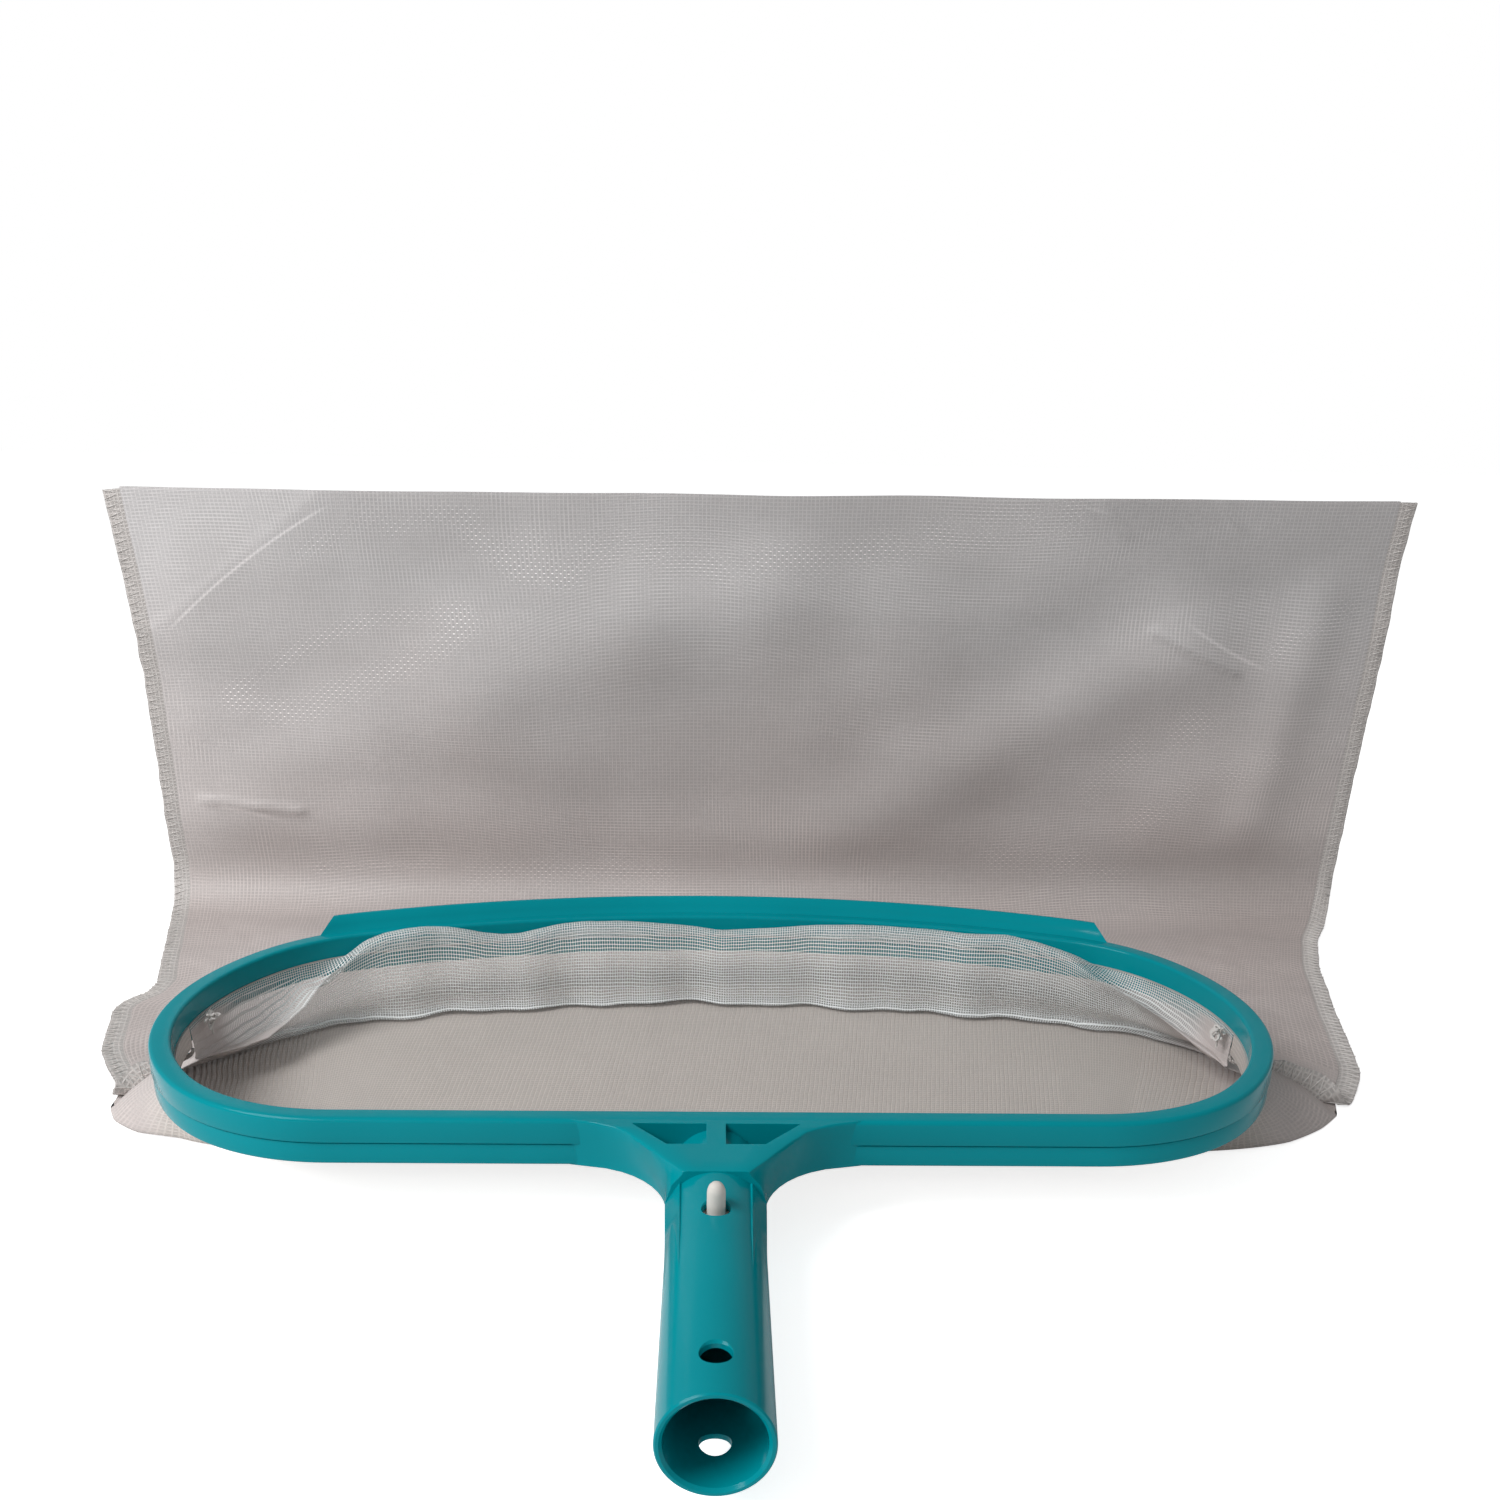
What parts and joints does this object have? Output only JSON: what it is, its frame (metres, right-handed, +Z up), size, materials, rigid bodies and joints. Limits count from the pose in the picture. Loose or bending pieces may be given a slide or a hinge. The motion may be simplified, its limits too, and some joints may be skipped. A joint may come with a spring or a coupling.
{
  "type": "leaf skimmer net",
  "caption": "Pool leaf skimmer: an oval moulded hoop with a scoop lip, a clamped mesh bag, and a tubular pole socket with a spring clip that locks the pole.",
  "frame": {"origin": "on the pole socket's axis, at its open mouth", "axes": "-Y leaves the socket along the pole, +Y runs towards the hoop and the bag, +Z is up from the surface it lies on, +X is to the right as seen from the pole"},
  "size_m": [0.5946, 0.4503, 0.2072],
  "materials": {
    "teal_plastic": "satin",
    "white_plastic": "satin",
    "net_mesh": "matte",
    "seam_thread": "matte"
  },
  "bodies": {
    "frame_and_bag": {"hoop": "teal_plastic", "scoop_lip": "teal_plastic", "yoke": "teal_plastic", "pole_socket": "teal_plastic", "clamp_ring": "teal_plastic", "net_hem": "net_mesh", "net_under_panel": "net_mesh", "net_over_panel": "net_mesh", "side_seam_left": "seam_thread", "side_seam_right": "seam_thread", "seam_knots": "seam_thread", "clip_bow": "white_plastic"},
    "upper_lock": {"clip_leg_upper": "white_plastic", "clip_pin_upper": "white_plastic"},
    "lower_lock": {"clip_leg_lower": "white_plastic", "clip_pin_lower": "white_plastic"}
  },
  "joints": [
    {"name": "upper_lock_press", "type": "hinge", "parent": "frame_and_bag", "child": "upper_lock", "pos_m": [0, 0.1176, 0.0093], "axis": [1, 0, 0], "range_deg": [0, 13], "stiffness_Nm_per_rad": 0.6, "springref_deg": -17.19},
    {"name": "lower_lock_press", "type": "hinge", "parent": "frame_and_bag", "child": "lower_lock", "pos_m": [0, 0.1176, -0.0093], "axis": [-1, 0, 0], "range_deg": [0, 13], "stiffness_Nm_per_rad": 0.6, "springref_deg": -17.19}
  ]
}
